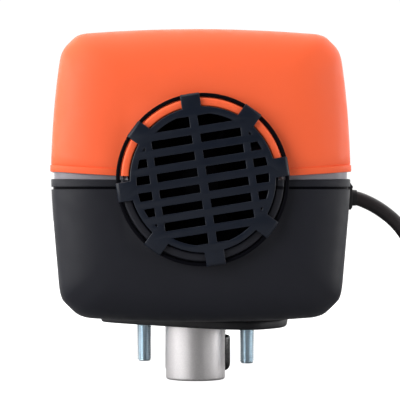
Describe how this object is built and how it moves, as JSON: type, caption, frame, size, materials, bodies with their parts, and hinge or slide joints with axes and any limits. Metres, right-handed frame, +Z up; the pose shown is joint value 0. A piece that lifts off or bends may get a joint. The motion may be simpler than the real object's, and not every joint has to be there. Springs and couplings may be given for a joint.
{
  "type": "fuel-burning cabin air heater",
  "caption": "Compact 2 kW class fuel-burning air heater: two-part casing, clip-on intake grille, finned burner, flange with stubs and studs, coiled harness.",
  "frame": {"origin": "centre of the flange's seating face, the underside of the flange gasket, midway between the two stubs", "axes": "+Z up, away from the panel that the flange is bolted to; +Y along the air flow, from the intake grille to the outlet hood; +X to the side where the wiring harness leaves"},
  "size_m": [0.2276, 0.31, 0.1426],
  "materials": {
    "orange_plastic": "fine-grained moulded orange plastic, satin",
    "black_plastic": "fine-grained moulded black plastic, satin",
    "grille_plastic": "moulded black plastic, semi-matt",
    "housing_plastic": "black plastic",
    "rubber": "matt black rubber",
    "cord_sheath": "black cable sheath with a brownish cast",
    "cast_aluminium": "sand-blasted die casting",
    "zinc_steel": "bright zinc plate with a blue cast",
    "bare_steel": "plain steel",
    "ferrite": "dark sintered ferrite",
    "gasket_sheet": "compressed fibre sheet",
    "circuit_board": "green circuit board"
  },
  "bodies": {
    "casing": {"upper_shell": "orange_plastic", "lower_shell": "black_plastic", "outlet_hood": "grille_plastic", "harness_grommet": "rubber", "blind_plug": "rubber", "mounting_flange": "cast_aluminium", "flange_gasket": "rubber", "intake_stub": "cast_aluminium", "exhaust_stub": "cast_aluminium", "stud_front_left": "zinc_steel", "stud_front_right": "zinc_steel", "stud_rear_left": "zinc_steel", "stud_rear_right": "zinc_steel", "fuel_pipe": "bare_steel", "fuel_pipe_cap": "rubber", "magnet_left": "ferrite", "magnet_right": "ferrite", "motor_can": "zinc_steel", "motor_end_cap": "housing_plastic", "bearing_front": "bare_steel", "bearing_rear": "bare_steel", "blower_housing": "cast_aluminium", "blower_cover": "cast_aluminium", "chamber_gasket": "gasket_sheet", "chamber_screw_upper_right": "zinc_steel", "chamber_screw_upper_left": "zinc_steel", "chamber_screw_lower_left": "zinc_steel", "chamber_screw_lower_right": "zinc_steel", "burner_tube": "bare_steel", "flame_screen": "bare_steel", "heat_exchanger": "cast_aluminium", "glow_plug": "bare_steel", "overheat_sensor": "housing_plastic", "sensor_clip": "zinc_steel", "control_case": "housing_plastic", "control_board": "circuit_board", "control_lid": "housing_plastic", "lid_screw_left": "zinc_steel", "lid_screw_right": "zinc_steel", "motor_saddle": "housing_plastic", "control_plug": "housing_plastic", "motor_lead": "cord_sheath", "glow_lead": "cord_sheath", "sensor_lead": "cord_sheath", "harness_inner": "cord_sheath", "harness_lead": "cord_sheath", "harness_coil": "cord_sheath", "harness_tail": "cord_sheath", "coil_tie": "rubber", "harness_connector": "housing_plastic"},
    "grille": {"intake_grille": "grille_plastic"},
    "rotor": {"motor_shaft": "bare_steel", "armature": "bare_steel", "hot_air_fan": "grille_plastic", "combustion_fan": "grille_plastic"}
  },
  "joints": [
    {"name": "rotor_spin", "type": "hinge", "parent": "casing", "child": "rotor", "pos_m": [0, -0.06, 0.0607], "axis": [0, 1, 0], "continuous": true},
    {"name": "grille_pull", "type": "slide", "parent": "casing", "child": "grille", "axis": [0, -1, 0], "range_m": [0, 0.03]}
  ]
}
